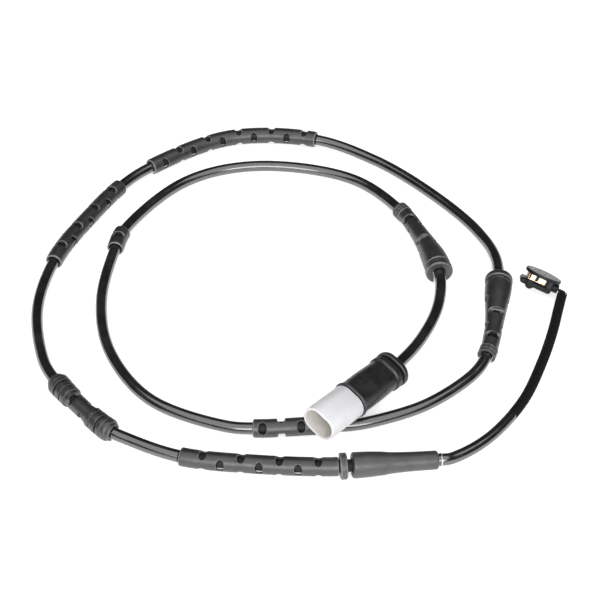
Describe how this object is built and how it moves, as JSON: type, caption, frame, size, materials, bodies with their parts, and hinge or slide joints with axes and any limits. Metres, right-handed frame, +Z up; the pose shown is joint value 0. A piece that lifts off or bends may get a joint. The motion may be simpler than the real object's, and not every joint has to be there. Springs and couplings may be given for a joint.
{
  "type": "brake pad wear sensor",
  "caption": "Brake pad wear sensor: oval connector, long cable in a loose spiral with split rubber sleeves and grommets, moulded splice, braided tail and a clip-on sensor head.",
  "frame": {"origin": "on the surface that the sensor lies on, under the middle of its moulded and metal pieces; the cable and the braided tail are left out of that middle", "axes": "+Z up from the surface; -Y towards the socket's mouth and the splice; +X towards the sensor head"},
  "size_m": [0.2099, 0.207, 0.0194],
  "materials": {
    "gloss_black_jacket": "glossy black cable jacket",
    "black_braid": "matt black braid",
    "sleeve_rubber": "matt dark grey rubber",
    "boot_rubber": "satin black rubber",
    "splice_rubber": "matt dark grey moulding",
    "white_plastic": "satin white plastic",
    "grey_plastic": "matt grey plastic",
    "head_plastic": "satin dark bluish grey plastic",
    "brass": "bright rolled brass",
    "tinned_metal": "bright tinned metal",
    "lead_insulation": "black wire insulation"
  },
  "bodies": {
    "root": {"cable_jacket": "gloss_black_jacket", "tail_jacket": "gloss_black_jacket", "braided_sleeve": "black_braid", "inner_grommet": "sleeve_rubber", "clip_sleeve": "sleeve_rubber", "notched_sleeve": "sleeve_rubber", "outer_grommet": "sleeve_rubber", "long_sleeve_top": "sleeve_rubber", "long_sleeve_left": "sleeve_rubber", "double_grommet": "sleeve_rubber", "long_sleeve_bottom": "sleeve_rubber", "stop_ring": "splice_rubber", "splice_body": "splice_rubber", "splice_joint_left": "tinned_metal", "splice_joint_right": "tinned_metal", "tail_ring": "tinned_metal", "connector_boot": "boot_rubber", "connector_shell": "white_plastic", "contact_carrier": "grey_plastic", "contact_pin_left": "tinned_metal", "contact_pin_right": "tinned_metal", "connector_lead_left": "lead_insulation", "connector_lead_right": "lead_insulation", "sensor_body": "head_plastic", "wear_loop": "lead_insulation", "spring_clip": "brass"}
  },
  "joints": []
}
